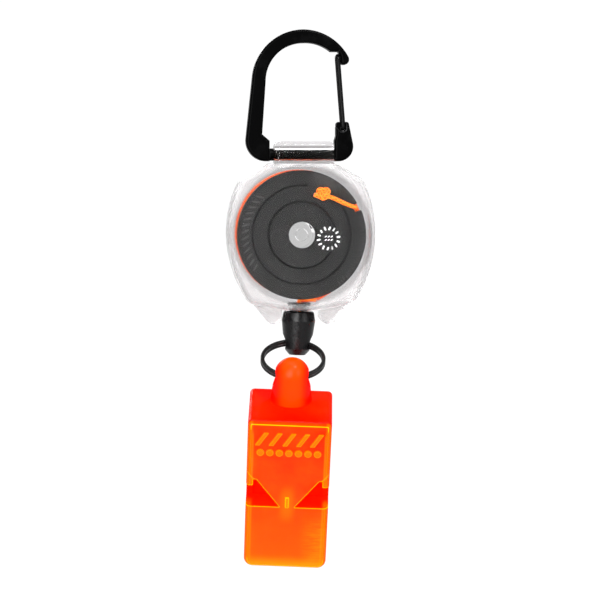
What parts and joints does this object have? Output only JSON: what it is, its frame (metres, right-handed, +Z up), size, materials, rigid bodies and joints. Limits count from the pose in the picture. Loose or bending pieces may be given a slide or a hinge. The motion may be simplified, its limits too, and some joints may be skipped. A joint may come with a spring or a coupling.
{
  "type": "retractable whistle tether",
  "caption": "Retractable reel tether with a wire-gate carabiner, a clear case round a sprung cord spool, a cord-end fitting, a split ring and a pealess safety whistle.",
  "frame": {"origin": "hang point: the crest of the carabiner's eye, where it rests on a loop or hook", "axes": "+Z up along the tether, -Y out of the reel's front face, +X to the gate's side"},
  "size_m": [0.0394, 0.0358, 0.1445],
  "materials": {
    "black_alloy": "satin black coating with rubbed edges",
    "black_steel": "black coated wire, a little bright where it rubs",
    "clear_case": "clear polycarbonate, faintly frosted at its edges",
    "black_nylon": "black nylon",
    "black_moulding": "fine spark-textured black plastic",
    "spring_steel": "blued spring strip",
    "orange_cord": "braided fluorescent orange cord",
    "black_gloss": "glossy black moulding",
    "black_ring": "black oxide on steel",
    "orange_whistle": "translucent fluorescent orange plastic"
  },
  "bodies": {
    "carabiner": {"carabiner_frame": "black_alloy"},
    "gate": {"wire_gate": "black_steel"},
    "case": {"front_case": "clear_case", "rear_case": "clear_case", "exit_bushing": "black_nylon"},
    "spool": {"spool_drum": "black_moulding", "spring_cover": "black_moulding", "mainspring": "spring_steel", "cord_winding": "orange_cord", "cord_tail": "orange_cord", "anchor_knot": "orange_cord"},
    "cord_end": {"cord_lead": "orange_cord", "end_knot": "orange_cord"},
    "fitting": {"end_fitting": "black_gloss"},
    "ring": {"split_ring": "black_ring"},
    "whistle": {"whistle_core": "orange_whistle", "whistle_front_cover": "orange_whistle", "whistle_rear_cover": "orange_whistle"}
  },
  "joints": [
    {"name": "gate_open", "type": "hinge", "parent": "carabiner", "child": "gate", "pos_m": [0.0116, 0, -0.0229], "axis": [0, -1, 0], "range_deg": [0, 40], "stiffness_Nm_per_rad": 0.06, "springref_deg": -20.05},
    {"name": "case_swing", "type": "hinge", "parent": "carabiner", "child": "case", "pos_m": [0, 0, -0.0299], "axis": [1, 0, 0], "range_deg": [-90, 90]},
    {"name": "spool_spin", "type": "hinge", "parent": "case", "child": "spool", "pos_m": [0, 0, -0.0514], "axis": [0, 1, 0], "range_deg": [0, 2331]},
    {"name": "cord_pull", "type": "slide", "parent": "case", "child": "cord_end", "axis": [-0.0401, 0, -0.9992], "range_m": [0, 0.61], "stiffness_N_per_m": 1, "springref_m": -1.4, "deforming": ["cord_lead"]},
    {"name": "fitting_swivel", "type": "hinge", "parent": "cord_end", "child": "fitting", "pos_m": [-0.0003, 0, -0.0717], "axis": [0.0401, 0, 0.9992], "range_deg": [-180, 180]},
    {"name": "ring_swing", "type": "hinge", "parent": "fitting", "child": "ring", "pos_m": [-0.00161, 0.00009, -0.08065], "axis": [-0.9946, 0.0958, 0.0399], "range_deg": [-120, 50]},
    {"name": "whistle_swing", "type": "hinge", "parent": "ring", "child": "whistle", "pos_m": [-0.00349, -0.01403, -0.08879], "axis": [-0.9946, 0.0958, 0.0399], "range_deg": [-35, 140]}
  ],
  "couplings": [
    {"joint": "spool_spin", "follows": "cord_pull", "rad_per_m": 66.667}
  ]
}
